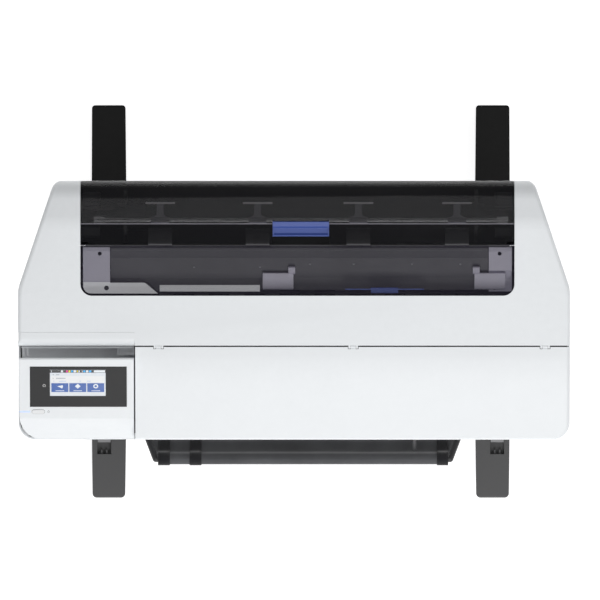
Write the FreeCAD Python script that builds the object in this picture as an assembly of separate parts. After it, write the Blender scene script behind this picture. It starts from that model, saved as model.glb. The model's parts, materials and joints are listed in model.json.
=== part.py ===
"""Wide-format roll printer with a built-in cutter, on a wheeled floor stand.

Millimetres. +X is the operator's right, +Y is the rear, +Z is up, and the origin is on the floor
under the middle of the bounding box. Each function builds one sub-part, as one or more closed solids.
"""
import FreeCAD, Part
import math
import os

Vector = FreeCAD.Vector
os.makedirs("parts", exist_ok=True)

# ---- driving dimensions -------------------------------------------------------------------------
HALF_WIDTH = 485.0        # half the body's width
FRONT, REAR = -243.0, 212.0
BASE = 683.0              # underside of the body, on the stand
CREST_Y, CREST_Z = 137.0, 913.0
SEAM_Y = -78.0            # seam between the hood and the front cover
PART_Z = 745.0            # parting line between the upper and lower covers
GAP = 0.8                 # shut line between two covers
WALL = 3.0
WINDOW = (-375.0, 387.0)  # the opening under the two tinted covers, along X
WINDOW_FRONT = 10.0
WINDOW_SPLIT = 101.0      # where the roll cover meets the feeder cover
PATH_X = 12.0             # centre of the paper path
PANEL = (-483.0, -281.6)  # the control panel, along X
COVER_LEFT = -279.0       # left edge of the front cover
SLOT = (-300.0, 324.0)    # the paper exit, along X
SLOT_Z = 718.0            # lower lip of the paper exit
FEET_X = (-331.0, 354.5)
FOOT_HALF_LENGTH = 351.0
FOOT_BOTTOM = 55.0
CASTER_Y = 305.0
WHEEL_R = 25.0
ROLL_AXIS = (150.0, 836.0)          # y, z of the roll's axis
ROLL_HINGE = (208.0, 850.0)
FEEDER_HINGE = (98.5, 902.2)
FRONT_HINGE = (-79.6, 859.2)
FRONT_PIN_R = 1.2
PANEL_PIVOT = (-226.0, 764.0)
PRESS_SHAFT = (142.5, 898.0)
PRESS_LEVERS_X = (-235.0, -64.0, 113.0, 286.0)
FRONT_KNUCKLES_X = (-238.0, 104.0, 441.0)
KNUCKLE_HALF = 4.5  # half the length of one hinge knuckle of the front cover
FEED_ROLLER = (16.0, 738.0)
PINCH_R, FEED_R = 5.0, 12.0
PINCH_SHAFT = (FEED_ROLLER[0], FEED_ROLLER[1] + FEED_R + PINCH_R + 0.3)
CUTTER_RAIL_Y = (-112.0, -104.0)
RAIL = (38.0, 800.0)
RAIL_R = 7.0
BELT_Y, BELT_Z, PULLEY_R = (56.0, 62.0), 799.0, 7.6
BELT_THICK = 1.4
PULLEYS_X = (-380.0, 396.0)
MOTOR_AXIS = (50.0, 720.0)
GEARS_X, GEAR_TEETH, PINION_TEETH = (-410.0, -400.0), 40, 29
RUNNING = 0.05            # radial clearance of a shaft in its bore


def top_z(y):
    """Height of the sloping top of the body at y, between the crest and the front cover's bend."""
    return CREST_Z - (CREST_Z - 852.0) / (CREST_Y + 120.0) * (CREST_Y - y)


# ---- shape helpers --------------------------------------------------------------------------------
def box(x, y, z):
    return Part.makeBox(x[1] - x[0], y[1] - y[0], z[1] - z[0], Vector(x[0], y[0], z[0]))


def rod(start, end, radius):
    start, end = Vector(*start), Vector(*end)
    return Part.makeCylinder(radius, (end - start).Length, start, end - start)


def rod_x(x, yz, radius):
    return rod((x[0], yz[0], yz[1]), (x[1], yz[0], yz[1]), radius)


def rod_y(x, y, z, radius):
    return rod((x, y[0], z), (x, y[1], z), radius)


def rod_z(x, y, z, radius):
    return rod((x, y, z[0]), (x, y, z[1]), radius)


def outline(corners, place):
    """Closed face through corners (a, b, radius), each rounded by its own radius."""
    count, rounds, edges = len(corners), [], []
    for i, (a, b, radius) in enumerate(corners):
        here = Vector(a, b, 0)
        back = (Vector(*corners[i - 1][:2], 0) - here).normalize()
        ahead = (Vector(*corners[(i + 1) % count][:2], 0) - here).normalize()
        if radius <= 0:
            rounds.append((here, None, here))
            continue
        half = back.getAngle(ahead) / 2
        inward = (back + ahead).normalize()
        middle = here + inward * (radius / math.sin(half) - radius)
        run = radius / math.tan(half)
        rounds.append((here + back * run, middle, here + ahead * run))
    for i, (start, middle, end) in enumerate(rounds):
        if middle is not None:
            edges.append(Part.Arc(place(start), place(middle), place(end)).toShape())
        following = rounds[(i + 1) % count][0]
        if (following - end).Length > 1e-6:
            edges.append(Part.LineSegment(place(end), place(following)).toShape())
    return Part.Face(Part.Wire(edges))


def plan(corners, z):
    """Solid with that plan outline in X and Y, between two heights."""
    face = outline(corners, lambda p: Vector(p.x, p.y, z[0]))
    return face.extrude(Vector(0, 0, z[1] - z[0]))


def profile(corners, x):
    """Solid with that side outline in Y and Z, between two places along X."""
    face = outline(corners, lambda p: Vector(x[0], p.x, p.y))
    return face.extrude(Vector(x[1] - x[0], 0, 0))


def strip(path, thickness, x):
    """Wall of one thickness that follows a path of corners (y, z, radius) in the side view."""
    sides = ([], [])
    for i, (y, z, radius) in enumerate(path):
        before, after = path[max(i - 1, 0)], path[min(i + 1, len(path) - 1)]
        inward = Vector(y - before[0], z - before[1], 0) if i > 0 else None
        onward = Vector(after[0] - y, after[1] - z, 0) if i < len(path) - 1 else inward
        inward = (inward or onward).normalize()
        onward = Vector(onward).normalize()
        along = (inward + onward).normalize()
        turn = inward.cross(onward).z
        reach = thickness / 2 / along.dot(inward)
        for side, points in zip((1, -1), sides):
            bend = radius - math.copysign(thickness / 2, turn) * side if radius > 0 else 0
            points.append((y - along.y * reach * side, z + along.x * reach * side, bend))
    return profile(sides[0] + sides[1][::-1], x)


def fuse(shapes):
    """One solid from touching shapes, with its coplanar faces merged where that leaves it valid."""
    if len(shapes) == 1:
        return shapes[0]
    joined = shapes[0].multiFuse(shapes[1:])
    merged = joined.removeSplitter()
    return merged if merged.isValid() else joined


def cut(shape, tools):
    return shape.cut(tools)


def fillet(shape, radius, wanted):
    """Rounds the edges that wanted(bounding box) picks."""
    return shape.makeFillet(radius, [e for e in shape.Edges if wanted(e.BoundBox)])


def upright(b):
    return b.XLength < 1e-3 and b.YLength < 1e-3


# ---- the body's outer form ------------------------------------------------------------------------
def body_form(inset, crest_radius=60.0):
    """Closed outer form of the body, or the same form inset by a wall, with a round or sharp crest."""
    w, f, r = HALF_WIDTH - inset, FRONT + inset, REAR - inset
    corner = 420.5 - inset * 0.8
    past = r + 1.0          # the corners' curves run just past the rear face, and meet it at an edge
    outer_plan = plan(
        [(-w, f, 30 - inset), (w, f, 30 - inset), (w, 22, 60), (corner, past, 22 - inset),
         (-corner, past, 22 - inset), (-w, 22, 60)], (BASE - 5, 1000))
    low = BASE if inset == 0 else BASE - 2
    side = profile(
        [(f, low, 0), (r, low, 0), (r, 903 - inset, 36 - inset),
         (CREST_Y, CREST_Z - inset, crest_radius), (-120, 852 - inset, 350),
         (f, 792 - inset, 12 - inset)], (-600, 600))
    return outer_plan.common(side)


def rounded_form():
    """The outer form with its upper side edges softened."""
    form = body_form(0)
    return fillet(form, 7.0, lambda b: b.ZMin > BASE + 5 and b.XLength < 200 and not upright(b))


OUTER = rounded_form()
INNER = body_form(WALL)
SHELL = OUTER.cut(INNER)
SHARP_SKIN = body_form(0, 2.5).cut(body_form(WALL, 2.5))
FAR = 1000.0


def window_prism(grow, z, rear=REAR + 20):
    """The window opening, grown by a margin on its sides and front."""
    low, high = WINDOW[0] - grow, WINDOW[1] + grow
    front = WINDOW_FRONT - grow
    return plan([(low, front, 20 + grow), (high, front, 20 + grow), (high, rear, 0),
                 (low, rear, 0)], z)


# ---- covers -----------------------------------------------------------------------------------------
def hood():
    """White top cover: two cheeks and the strip in front of the window, with a wall round the window."""
    skirt = window_prism(WALL, (846, FAR), REAR - 1).cut(window_prism(0, (840, FAR)))
    shell = SHELL.common(box((-600, 600), (SEAM_Y + 0.4, 300), (PART_Z + GAP / 2, FAR)))
    shell = shell.cut(window_prism(0, (PART_Z - 10, FAR)))
    # rounded lip over the recess behind the control panel
    lip_back, recess = SEAM_Y + 24, (-600, COVER_LEFT - 1)
    shell = shell.cut(box(recess, (SEAM_Y - 1, lip_back), (780, FAR)))
    lip = strip([(lip_back, top_z(lip_back) - 1.5, 0), (SEAM_Y + 1.5, top_z(SEAM_Y) - 1.5, 16),
                 (SEAM_Y + 1.5, 780, 0)], 3, recess).common(OUTER)
    reach = KNUCKLE_HALF + 0.5
    lugs = [box(side, (FRONT_HINGE[0] - 3.2, SEAM_Y + 3), (856, 870)).common(OUTER)
            for x in FRONT_KNUCKLES_X
            for side in ((x - reach - 3.5, x - reach), (x + reach, x + reach + 3.5))]
    shell = fuse([shell, skirt.common(INNER), lip] + lugs)
    notches = [rod_x((x - reach + 0.1, x + reach - 0.1), FRONT_HINGE, 3.3)
               for x in FRONT_KNUCKLES_X]
    return cut(shell, notches + hinge_pins())


def lower_shell(x, y=(-300, 300), top=PART_Z - GAP / 2):
    return SHELL.common(box(x, y, (BASE, top)))


def lower_covers():
    """Left and right ends of the lower casing, and the sill between them with the paper exit."""
    split = (WINDOW[0] + 1, WINDOW[1] - 1)
    opening = box(SLOT, (-260, -200), (SLOT_Z, PART_Z + 5))
    sill = lower_shell((split[0] + GAP, split[1] - GAP), (-300, -200))
    lip = box((SLOT[0] + 2, SLOT[1] - 2), (FRONT + WALL, FRONT + 12), (SLOT_Z - 2.5, SLOT_Z))
    return [lower_shell((-600, split[0])), lower_shell((split[1], 600)),
            fuse([cut(sill, opening), lip])]


def rear_cover():
    """Back wall between the cheeks, with ventilation slots and the cut-out for the mains inlet."""
    wall = SHELL.common(box((WINDOW[0] + 1 + GAP, WINDOW[1] - 1 - GAP), (150, 300), (BASE, 845)))
    vents = [box((PATH_X + x, PATH_X + x + 5), (200, 220), (705, 735))
             for x in range(-130, 131, 13)]
    inlet = box((300, 328), (200, 220), (703, 727))
    return cut(wall, vents + [inlet])


def base_pan():
    """Folded steel tray that carries the mechanism."""
    inset = WALL + 0.3
    form = body_form(inset)
    tray = form.common(box((-600, 600), (-300, 300), (BASE, 700)))
    return tray.cut(body_form(inset + 2).common(box((-600, 600), (-300, 300), (BASE + 2, FAR))))


def front_cover():
    """White lid over the print and cutter zone, with three hinge knuckles."""
    y, z = FRONT_HINGE
    back = y - 0.3
    skin = SHELL.common(box((COVER_LEFT, 600), (-300, back), (PART_Z + GAP / 2, FAR)))
    rib = INNER.common(box((COVER_LEFT, COVER_LEFT + 2.5), (-300, back - 4), (760, FAR)))
    knuckles, gaps, holes = [], [], []
    for x in FRONT_KNUCKLES_X:
        gaps.append(box((x - KNUCKLE_HALF - 4.8, x + KNUCKLE_HALF + 4.8), (back - 3.7, back + 5),
                        (840, FAR)))
        knuckles.append(profile([(back - 6, z - 2.8, 0), (y + 2.8, z - 2.8, 2.6),
                                 (y + 2.8, z + 2.8, 2.6), (y - 2.8, z + 2.8, 2.6),
                                 (y - 2.8, z + 0.4, 0), (back - 6, z + 0.4, 0)],
                                (x - KNUCKLE_HALF, x + KNUCKLE_HALF)))
        holes.append(rod_x((x - KNUCKLE_HALF - 1, x + KNUCKLE_HALF + 1), FRONT_HINGE,
                           FRONT_PIN_R + RUNNING))
    lid = fuse([cut(skin, gaps), rib])
    return cut(fuse([lid] + knuckles), holes)


def skin_between(y, x=WINDOW, crease=True):
    """Strip of the tinted skin between two places along Y, clear of the window's sides."""
    form = SHARP_SKIN if crease else SHELL
    return form.common(window_prism(-GAP, (780, FAR))).common(box(x, y, (780, FAR)))


def roll_cover():
    """Dark tinted cover over the roll bay. It wraps over the rear edge and has a finger notch."""
    skin = skin_between((WINDOW_SPLIT, 300))
    skin = skin.cut(box((-600, 600), (180, 300), (780, ROLL_HINGE[1] + 2)))
    notch = box((PATH_X - 50, PATH_X + 50), (90, 140.5), (850, 950))
    corners = [box(x, (90, 104.5), (850, 950)) for x in
               ((WINDOW[0] - 1, WINDOW[0] + 13), (WINDOW[1] - 13, WINDOW[1] + 1))]
    ears, holes = [], []
    for x in ((WINDOW[0] + 1.5, WINDOW[0] + 9.5), (WINDOW[1] - 9.5, WINDOW[1] - 1.5)):
        ears.append(profile([(200, 848, 2), (211.5, 848, 3), (211.5, 862, 0), (200, 862, 2)], x))
        holes.append(rod_x((x[0] - 1, x[1] + 1), ROLL_HINGE, 2.5 + RUNNING))
    cheeks = []
    for x in ((WINDOW[0] + 1.5, WINDOW[0] + 4), (WINDOW[1] - 4, WINDOW[1] - 1.5)):
        side = profile([(110, 882, 3), (196, 882, 0), (211, 862, 0), (211, 880, 0), (160, 912, 0),
                        (110, 908, 0)], x)
        cheeks.append(side.common(body_form(1, 2.5)))
    return cut(fuse([cut(skin, [notch] + corners)] + ears + cheeks), holes)


def roll_cover_grip():
    """Blue finger grip set into the notch of the roll cover."""
    x = (PATH_X - 49.5, PATH_X + 49.5)
    top = top_z(140)
    grip = profile([(140.3, top - 4, 0), (140.3, top - 1, 1), (132, top - 3.5, 2),
                    (128, top - 8, 2), (120, top - 8.5, 2), (115, top - 4, 1.5),
                    (114, top - 7, 1), (120, top - 12, 2), (134, top - 12, 2), (137, top - 7, 1)], x)
    webs = [box((PATH_X + s * 48.3 - 1.2, PATH_X + s * 48.3 + 1.2), (116, 144), (top - 11, top - 6))
            for s in (-1, 1)]
    return fuse([grip] + webs)


def press_shaft():
    """Steel shaft under the roll cover and the two clips that hang it there."""
    shaft = rod_x((-333, 357), PRESS_SHAFT, 4)
    clips = []
    for x in (-342.0, 366.0):
        clips.append(box((x - 9.5, x + 9.5), (136, 149), (894, 904)))
    return fuse([shaft] + clips)


def press_levers():
    """Four T-shaped levers on the shaft, which keep the paper from springing off the roll."""
    y, z = PRESS_SHAFT
    levers = []
    for x in PRESS_LEVERS_X:
        bar = box((x - 26, x + 26), (171, 174.5), (z - 5, z + 3.2))
        stem = box((x - 6, x + 6), (y + 3, 172), (z - 1, z + 1.6))
        foot = plan([(x - 16, y - 6, 2), (x + 16, y - 6, 2), (x + 16, y + 3, 2), (x + 6, y + 10, 3),
                     (x - 6, y + 10, 3), (x - 16, y + 3, 2)], (z - 5.6, z + 3.2))
        sleeve = rod_x((x - 16, x + 16), PRESS_SHAFT, 6)
        lever = fuse([bar, stem, foot, sleeve])
        levers.append(lever.cut(rod_x((x - 20, x + 20), PRESS_SHAFT, 4 + RUNNING)))
    return levers


def feeder_cover():
    """Single tinted lid over the cut-sheet feeder, hinged where it meets the roll cover."""
    y, z = FEEDER_HINGE
    skin = skin_between((0, y), crease=False)
    knuckles, holes = [], []
    for x in ((WINDOW[0] + GAP, WINDOW[0] + 12), (WINDOW[1] - 12, WINDOW[1] - GAP)):
        knuckles.append(rod_x(x, FEEDER_HINGE, 2.6))
        holes.append(rod_x((x[0] - 1, x[1] + 1), FEEDER_HINGE, 1.2 + RUNNING))
    inner_wall = window_prism(-GAP, (860, FAR)).cut(window_prism(-GAP - 2, (850, FAR)))
    rim = inner_wall.common(body_form(WALL - 0.2)).cut(body_form(WALL + 7))
    rim = rim.common(box((-600, 600), (0, 88), (850, FAR)))
    return cut(fuse([skin, rim] + knuckles), holes)


def hinge_pins():
    """Steel hinge pins of the roll, feeder and front covers, held by the hood and frames."""
    pins = []
    for x in ((WINDOW[0] - 2.9, WINDOW[0] + 9), (WINDOW[1] - 9, WINDOW[1] + 2.9)):
        pins += [rod_x(x, ROLL_HINGE, 2.5), rod_x(x, FEEDER_HINGE, 1.2)]
    for x in FRONT_KNUCKLES_X:
        pins.append(rod_x((x - KNUCKLE_HALF - 4, x + KNUCKLE_HALF + 4), FRONT_HINGE, FRONT_PIN_R))
    return pins


# ---- control panel ----------------------------------------------------------------------------------
PANEL_REAR, PANEL_BREAK = (-99.0, 873.0), (-205.0, 811.8)
PANEL_SLOPE = math.atan2(PANEL_REAR[1] - PANEL_BREAK[1], PANEL_REAR[0] - PANEL_BREAK[0])
PANEL_ROTATION = FreeCAD.Rotation(Vector(1, 0, 0), math.degrees(PANEL_SLOPE))


def on_panel(shape, x, along, lift=0.0):
    """Moves a shape drawn flat at the origin onto the panel's sloping face."""
    y = PANEL_BREAK[0] + along * math.cos(PANEL_SLOPE) - lift * math.sin(PANEL_SLOPE)
    z = PANEL_BREAK[1] + along * math.sin(PANEL_SLOPE) + lift * math.cos(PANEL_SLOPE)
    placed = shape.copy()
    placed.Placement = FreeCAD.Placement(Vector(x, y, z), PANEL_ROTATION)
    return placed


GLASS = (-464.0, -294.0, 23.0, 104.5)       # x from, x to, along the slope from, to
SCREEN = (-429.0, -331.0, 45.0, 98.0)
BUTTON_X, BUTTON_ALONG = -449.5, 13.0
LIGHT = (-483.0, -464.0)
PANEL_WEBS = ((-437.0, -433.0), (-290.0, -286.0))


def pill(half_length, radius, depth):
    corners = [(-half_length, -radius, radius * 0.98), (half_length, -radius, radius * 0.98),
               (half_length, radius, radius * 0.98), (-half_length, radius, radius * 0.98)]
    return plan(corners, (-depth, 0))


def glass_block(grow, depth):
    x = (GLASS[0] - grow - GLASS[0], GLASS[1] + grow - GLASS[0])
    return on_panel(box(x, (-grow, GLASS[3] - GLASS[2] + grow), (-depth, 5)), GLASS[0], GLASS[2])


def panel_slab(x):
    """Closed side outline of the control panel's case."""
    return profile([(*PANEL_REAR, 3), (*PANEL_BREAK, 14), (FRONT, 757, 5), (FRONT + 5, 750, 3),
                    (-230, 750, 3), (-190, 789, 10), (PANEL_REAR[0], 841, 3)], x)


def panel_housing():
    """White tilting case of the control panel, open underneath at its pivots."""
    low, high = PANEL
    rounding = plan([(low, FRONT - 1, 44), (high, FRONT - 1, 3), (high, 0, 0), (low, 0, 0)],
                    (700, 900))
    hollow = profile([(-102, 869, 0), (-204, 809, 10), (-239.5, 758, 0), (-236, 752, 0),
                      (-231, 740, 0), (-205, 765, 0), (-186, 795, 0), (-102, 844, 0)],
                     (low + 3, high - 3))
    hollow = hollow.common(plan([(low + 3, FRONT + 2, 41), (high - 3, FRONT + 2, 0),
                                 (high - 3, 0, 0), (low + 3, 0, 0)], (700, 900)))
    webs = [panel_slab(x).common(box(x, (-245, -195), (740, 830))) for x in PANEL_WEBS]
    button = on_panel(pill(11.3, 4.3, 8), BUTTON_X, BUTTON_ALONG, 2)
    light = on_panel(box((-1, LIGHT[1] - LIGHT[0]), (-1.3, 1.3), (-1.2, 2)), LIGHT[0], BUTTON_ALONG)
    pivots = [rod_x((x[0] - 1, x[1] + 1), PANEL_PIVOT, 3 + RUNNING) for x in PANEL_WEBS]
    case = fuse([cut(panel_slab(PANEL).common(rounding), [hollow])] + webs)
    return cut(case, [glass_block(0.3, 1.8), button, light] + pivots)


def panel_glass():
    """Black glass over the screen, with the screen's window."""
    window = on_panel(box((0, SCREEN[1] - SCREEN[0]), (0, SCREEN[3] - SCREEN[2]), (-4, 4)),
                      SCREEN[0], SCREEN[2])
    plate = box((0, GLASS[1] - GLASS[0]), (0, GLASS[3] - GLASS[2]), (-1.8, 0.2))
    return on_panel(plate, GLASS[0], GLASS[2]).cut(window)


def lcd_screen():
    """Colour touch display, flush in the glass."""
    plate = box((0.1, SCREEN[1] - SCREEN[0] - 0.1), (0.1, SCREEN[3] - SCREEN[2] - 0.1), (-1.8, 0))
    return on_panel(plate, SCREEN[0], SCREEN[2])


def status_light():
    """Light bar at the panel's left edge."""
    bar = box((0.5, LIGHT[1] - LIGHT[0] - 0.2), (-1.1, 1.1), (-1.2, 0.1))
    return on_panel(bar, LIGHT[0], BUTTON_ALONG)


def power_button():
    return on_panel(pill(11, 4, 5.5), BUTTON_X, BUTTON_ALONG, 0.8)


def panel_bay():
    """Grey tray under the control panel, with its pivot pins and the ledge behind it."""
    floor = box((-479, -281), (-236, SEAM_Y - 1), (741.5, 744.5)).common(body_form(WALL + 0.4))
    back = box((-479, -281), (SEAM_Y - 4, SEAM_Y - 1), (744, 836))
    shelf = box((-308, -281), (SEAM_Y - 16, SEAM_Y - 3), (797, 800))
    posts, pins, gussets = [], [], []
    for web, side in zip(PANEL_WEBS, (1, -1)):
        near = web[1] + 0.5 if side > 0 else web[0] - 3.5
        y, z = PANEL_PIVOT
        posts.append(profile([(y - 4, 744, 0), (y + 4, 744, 0), (y + 4, z + 3.9, 3.9),
                              (y - 4, z + 3.9, 3.9)], (near, near + 3)))
        pins.append(rod_x((near - 4.4, near + 1) if side > 0 else (near + 2, near + 7.4),
                          PANEL_PIVOT, 3))
    for x in ((-478, -474), (-470, -467), (-311, -308)):
        gussets.append(profile([(SEAM_Y - 3, 812, 0), (SEAM_Y - 17, 800, 0),
                                (SEAM_Y - 3, 770, 0)], x))
    return fuse([floor, back, shelf] + posts + pins + gussets)


# ---- roll bay and cut-sheet feeder ------------------------------------------------------------------
DECK_REAR, DECK_FRONT = (92.0, 888.0), (42.0, 852.0)


def feeder_deck():
    """Dark sloping deck of the cut-sheet feeder, with the step on its left."""
    deck = profile([(96, 890, 0), (94, 893, 1), (90, 893, 2), (76, 880, 6), (42, 858, 4),
                    (20, 852, 2), (20, 849, 0), (42, 854.5, 4), (76, 876, 6), (88, 886, 2),
                    (93, 870, 0), (96, 870, 0)], (-322, 341))
    step = box((-330, -58), (0, 41), (840, FAR))
    low = profile([(41.5, 856, 0), (41.5, 850, 0), (18, 843, 0), (18, 846, 0), (38.5, 852, 0),
                   (38.5, 856, 0)], (-322, -59))
    webs = [profile([(94, 870, 0), (88, 886, 0), (76, 876.5, 0), (44, 856, 0), (44, 850, 0),
                     (80, 862, 0)], (x, x + 2.5)) for x in (-318, -160, 10, 170, 335)]
    return fuse([cut(deck, [step]), low] + webs)


def feeder_trims():
    """Light plates at both ends of the deck, and the low rail in front of it on the left."""
    left = profile([(95.5, 884, 1), (95.5, 888, 1), (88, 888, 6), (34, 868, 2), (34, 864.5, 0)],
                   (-370.5, -323))
    right = profile([(95.5, 884, 1), (95.5, 888, 1), (88, 888, 6), (54, 875.6, 1), (54, 868, 0),
                     (60, 870, 0)], (342, 382.5))
    right_low = strip([(54.5, 864.8, 0), (42, 856.6, 0), (18, 850.4, 0)], 2.6, (342, 382.5))
    riser = box((342, 382.5), (54.2, 57), (864, 875))
    screws = [rod_z(x, 84, (860, 895), 3.4) for x in (-341, 361)]
    ledge = plan([(-370.5, 14, 14), (-239, 14, 0), (-262, 33, 6), (-370.5, 33, 0)], (858, 862))
    foot = box((-370.5, -323), (31, 34.1), (860, 866))
    rail = profile([(17.5, 857, 1.5), (24, 859, 1.5), (29, 857, 1.5), (29, 854, 0),
                    (17.5, 854, 0)], (-236, -60))
    return [cut(fuse([left, foot, ledge]), screws), cut(fuse([right, riser, right_low]), screws), rail]


def edge_guide(sign):
    """Sliding side guide of the cut-sheet feeder; sign is -1 for the left one."""
    inner = 158.0 + sign * 159.0
    outer = inner + sign * 54
    x = (min(inner, outer), max(inner, outer))
    plate = profile([(49, 864.2, 0), (52, 872, 2), (22, 861.5, 2), (21, 853.5, 0),
                     (42.4, 859.3, 0)], x)
    tab_x = (inner - 3, inner + 9) if sign > 0 else (inner - 9, inner + 3)
    tab = profile([(62, 873, 1), (60, 880, 2), (50, 873, 2), (48, 864, 0), (58, 870, 0)], tab_x)
    return fuse([plate, tab])


def feeder_grip():
    """Blue tab and rib on the inside of the feeder cover."""
    tab = profile([(14.5, 877.2, 1), (24.5, 879.6, 1), (24.5, 873, 1), (14.5, 870.5, 1)], (135, 183))
    rib = profile([(20.5, 878.6, 0), (22.5, 879.1, 0), (22.5, 875, 0), (20.5, 874.5, 0)], (90, 228))
    return fuse([tab, rib])


def bay_wall():
    """Wall between the roll bay and the feeder, its floor, and the four guide pads on its edge."""
    wall = strip([(98, 888, 0), (98, 799, 22), (129, 763.5, 32), (206, 763.5, 0)], 3, (-371, 383))
    pads = [strip([(98, 886, 0), (101, 893.5, 4), (125, 891, 9), (128, 862, 0)], 3.6,
                  (x - 21, x + 21)) for x in PRESS_LEVERS_X]
    return fuse([wall] + pads)


def roll_holders():
    """End brackets of the roll bay, each with an open seat for a roll adapter."""
    y, z = ROLL_AXIS
    holders = []
    for x in ((-370.5, -341), (353, 382.5)):
        body = profile([(145, 765, 0), (192, 765, 0), (192, 866, 8), (168, 866, 4), (166, 846, 3),
                        (134, 846, 3), (132, 866, 4), (112, 866, 6), (112, 794, 0)], x)
        seat = fuse([rod_x((x[0] - 1, x[1] + 1), ROLL_AXIS, 12 + RUNNING),
                     box((x[0] - 1, x[1] + 1), (y - 12 - RUNNING, y + 12 + RUNNING), (z, z + 40))])
        holders.append(body.cut(seat))
    return holders


def roll_adapter(sign):
    """Flanged plug that carries one end of the paper roll; sign is -1 for the left one."""
    edge = PATH_X + sign * 305
    def along(start, end):
        return tuple(sorted((edge + sign * start, edge + sign * end)))
    parts = [rod_x(along(0, 6), ROLL_AXIS, 48), rod_x(along(-34, 1), ROLL_AXIS, 25),
             rod_x(along(5, 18), ROLL_AXIS, 22), rod_x(along(17, 54), ROLL_AXIS, 12)]
    holes = [rod_x(along(-36, 10), ROLL_AXIS, 18)]
    for k in range(6):
        a = math.radians(60 * k)
        centre = (ROLL_AXIS[0] + 35 * math.cos(a), ROLL_AXIS[1] + 35 * math.sin(a))
        holes.append(rod_x(along(-1, 7), centre, 7))
    return cut(fuse(parts), holes)


# ---- print and cutter mechanism ---------------------------------------------------------------------
def chassis():
    """Two steel side plates, the round rail between them and the cutter's flat rail."""
    frames = []
    for x, inward, pulley_x in ((-393.0, 1, PULLEYS_X[0]), (416.0, -1, PULLEYS_X[1])):
        plate = profile([(-72, 685, 0), (195, 685, 0), (195, 760, 20), (95, 840, 20),
                         (-66, 840, 8)], (x - 1, x + 1))
        foot = box((min(x, x + inward * 18), max(x, x + inward * 18)), (-70, 190), (685, 687))
        tab = box((min(x, pulley_x - 9), max(x, pulley_x + 9)), (65, 68), (786, 812))
        axle = rod_y(pulley_x, (54, 66), BELT_Z, 2.5)
        holes = [rod_x((x - 3, x + 3), FEED_ROLLER, 6 + RUNNING),
                 rod_x((x - 3, x + 3), PINCH_SHAFT, 2 + RUNNING),
                 rod_x((x - 3, x + 3), MOTOR_AXIS, 6)]
        frames.append(cut(fuse([plate, foot, tab, axle]), holes))
    rail = rod_x((-396, 419), RAIL, RAIL_R)
    cutter_rail = box((-268, 428), CUTTER_RAIL_Y, (746, 752))
    bracket = box((-268, -262), (CUTTER_RAIL_Y[0], -57), (747, 751))
    post = box((424, 428), (CUTTER_RAIL_Y[0], CUTTER_RAIL_Y[1] + 20), (685, 752))
    return [fuse(frames + [rail]), fuse([cutter_rail, bracket, post])]


def platen():
    """Ribbed black platen and the guide that leads the paper down to the exit."""
    bed = box((-315, 334), (-62, 0), (741, 747))
    ribs = [box((x, x + 2), (-62, 0), (747, 749.5)) for x in range(-310, 340, 26)]
    guide = strip([(-60, 744, 0), (-80, 736.5, 20), (-232, 721.5, 0)], 3, (SLOT[0] + 6, SLOT[1] - 6))
    legs = [box((x, x + 4), (-60, -4), (685, 742)) for x in (-312, 12, 328)]
    bed = cut(fuse([bed] + ribs), [box((-268.5, -261.5), (-70, -56), (747, 760))])
    return fuse([bed, guide] + legs)


def gear(x, centre, tip, root, teeth, turn=0.0):
    """Spur gear about an axis along X, with straight-sided teeth."""
    blanks = [rod_x(x, centre, root)]
    for k in range(teeth):
        angle = math.radians(turn) + 2 * math.pi * k / teeth
        corners = [(centre[0] + r * math.cos(angle + w), centre[1] + r * math.sin(angle + w), 0)
                   for r, w in ((root - 0.5, -1.0 / root), (tip, -0.55 / tip), (tip, 0.55 / tip),
                                (root - 0.5, 1.0 / root))]
        blanks.append(profile(corners, x))
    return fuse(blanks)


def feed_roller():
    """Rubber-covered feed roller with its journals and driven gear."""
    return fuse([rod_x((-330, 354), FEED_ROLLER, FEED_R), rod_x((-410, 423), FEED_ROLLER, 6),
                 gear(GEARS_X, FEED_ROLLER, 22, 20, GEAR_TEETH)])


def motor_pinion():
    """Pinion on the feed motor's shaft, which drives the roller's gear."""
    line = math.degrees(math.atan2(MOTOR_AXIS[1] - FEED_ROLLER[1], MOTOR_AXIS[0] - FEED_ROLLER[0]))
    pitch = 360 / GEAR_TEETH
    ahead = round(line / pitch) * pitch - line      # from the line of centres to the nearest tooth
    turn = line + 180 - (ahead * GEAR_TEETH + 180) / PINION_TEETH
    return fuse([gear(GEARS_X, MOTOR_AXIS, 17.6, 15, PINION_TEETH, turn),
                 rod_x((-400.5, -390), MOTOR_AXIS, 3)])


def pinch_rollers():
    """Row of free-running pinch rollers on one shaft above the feed roller."""
    wheels = [rod_x((x, x + 26), PINCH_SHAFT, PINCH_R) for x in range(-300, 300, 62)]
    return fuse([rod_x((-394, 417), PINCH_SHAFT, 2)] + wheels)


CARRIAGE_X = 328.0      # the carriage is parked over the capping station
CUTTER_X = (-262.0, -228.0)
BLADE_Z = 762.0


def carriage():
    """Print carriage with its head underneath, running on the round rail and clamped to the belt."""
    x = (CARRIAGE_X, CARRIAGE_X + 74)
    body = profile([(-58, 766, 3), (14, 766, 3), (14, 786, 0), (50, 786, 4), (50, 812, 6),
                    (10, 834, 8), (-58, 830, 10)], x)
    head = box((x[0] + 12, x[1] - 12), (-50, -10), (756, 766.5))
    low_run = BELT_Z - PULLEY_R - BELT_THICK
    jaws = [box((x[0] + 20, x[0] + 40), (48, 61), z) for z in
            ((low_run - 4, low_run - 0.3), (low_run + BELT_THICK + 0.3, low_run + 5))]
    return cut(fuse([body, head] + jaws), [rod_x((x[0] - 1, x[1] + 1), RAIL, RAIL_R + RUNNING)])


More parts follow.
